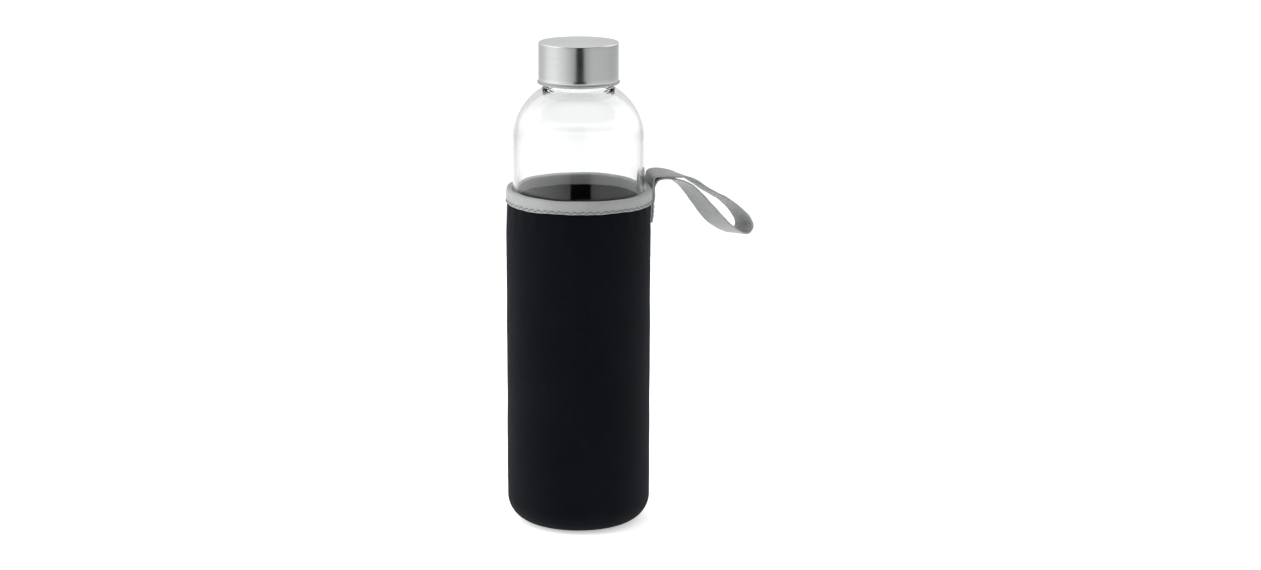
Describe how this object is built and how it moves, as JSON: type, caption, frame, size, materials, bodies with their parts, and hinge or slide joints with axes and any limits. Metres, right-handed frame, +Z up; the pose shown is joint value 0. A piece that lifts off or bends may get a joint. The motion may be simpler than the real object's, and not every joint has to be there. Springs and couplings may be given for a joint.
{
  "type": "glass water bottle",
  "caption": "Clear glass water bottle with a steel screw cap, in a dark neoprene sleeve with a bound rim and a webbing carrying loop.",
  "frame": {"origin": "centre of the sleeve's flat base, on the surface that the bottle stands on", "axes": "+Z up along the bottle's axis; -Y is the front; the carrying loop leaves the rim towards +X and slightly +Y"},
  "size_m": [0.1326, 0.0778, 0.2576],
  "materials": {
    "glass": "clear, smooth",
    "steel": "satin, drawn stainless steel",
    "liner_plastic": "moulded polypropylene",
    "silicone": "translucent white silicone",
    "neoprene": "fine knit face over foam rubber",
    "binding_tape": "woven polyester tape",
    "webbing": "flat woven webbing",
    "grey_thread": "sewing thread",
    "dark_thread": "sewing thread"
  },
  "bodies": {
    "sleeve": {"sleeve_wall": "neoprene", "sleeve_base": "neoprene", "rim_binding": "binding_tape", "rim_stitching": "grey_thread", "side_seam_stitching": "dark_thread", "base_seam_stitching": "dark_thread", "strap_anchor": "webbing", "strap_tack_stitching": "grey_thread"},
    "bottle": {"glass_bottle": "glass"},
    "seal": {"cap_seal": "silicone"},
    "cap": {"cap_shell": "steel", "cap_liner": "liner_plastic"},
    "strap": {"strap_loop": "webbing"}
  },
  "joints": [
    {"name": "bottle_slide", "type": "slide", "parent": "sleeve", "child": "bottle", "axis": [0, 0, 1], "range_m": [0, 0.19]},
    {"name": "cap_rise", "type": "slide", "parent": "bottle", "child": "seal", "axis": [0, 0, 1], "range_m": [0, 0.0191]},
    {"name": "cap_turn", "type": "hinge", "parent": "seal", "child": "cap", "pos_m": [0, 0, 0.2454], "axis": [0, 0, 1], "range_deg": [0, 1620]},
    {"name": "strap_swing", "type": "hinge", "parent": "sleeve", "child": "strap", "pos_m": [0.04366, 0.01089, 0.1854], "axis": [0.2419, -0.9703, 0], "range_deg": [-50, 100], "stiffness_Nm_per_rad": 0.02}
  ],
  "couplings": [
    {"joint": "cap_rise", "follows": "cap_turn", "m_per_rad": 0.0006737}
  ]
}
